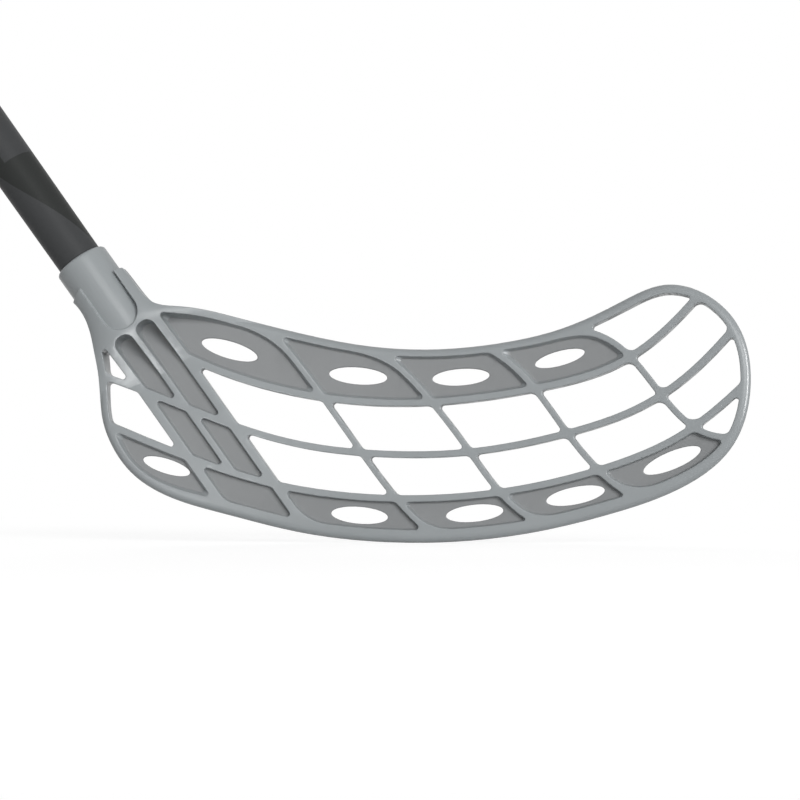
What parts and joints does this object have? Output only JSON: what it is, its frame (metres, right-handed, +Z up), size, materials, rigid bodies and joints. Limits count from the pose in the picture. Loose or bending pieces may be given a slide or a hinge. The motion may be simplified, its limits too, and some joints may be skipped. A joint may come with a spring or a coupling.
{
  "type": "floorball stick",
  "caption": "Floorball stick: a hooked openwork plastic blade moulded with its hosel on a tapered tube shaft, with a wrapped grip, finishing tape and butt cap.",
  "frame": {"origin": "lowest point of the sole, where the blade rests on the floor in play", "axes": "+X from the heel to the toe, +Z up, -Y out of the forehand face, towards which the toe is hooked"},
  "size_m": [0.8384, 0.0469, 0.8886],
  "materials": {
    "blade_plastic": "satin moulded grey",
    "shaft_laminate": "clear-coated fibre laminate, charcoal with a plain grey band",
    "glue": "hot-melt, translucent amber",
    "screw_steel": "zinc-plated",
    "cap_plastic": "moulded black",
    "grip_cushion": "perforated cushioned wrap, black",
    "tape_vinyl": "vinyl tape, black"
  },
  "bodies": {
    "root": {"blade": "blade_plastic", "shaft": "shaft_laminate", "glue_film": "glue", "blade_screw": "screw_steel", "butt_cap": "cap_plastic", "grip_wrap": "grip_cushion", "finish_tape": "tape_vinyl"}
  },
  "joints": []
}
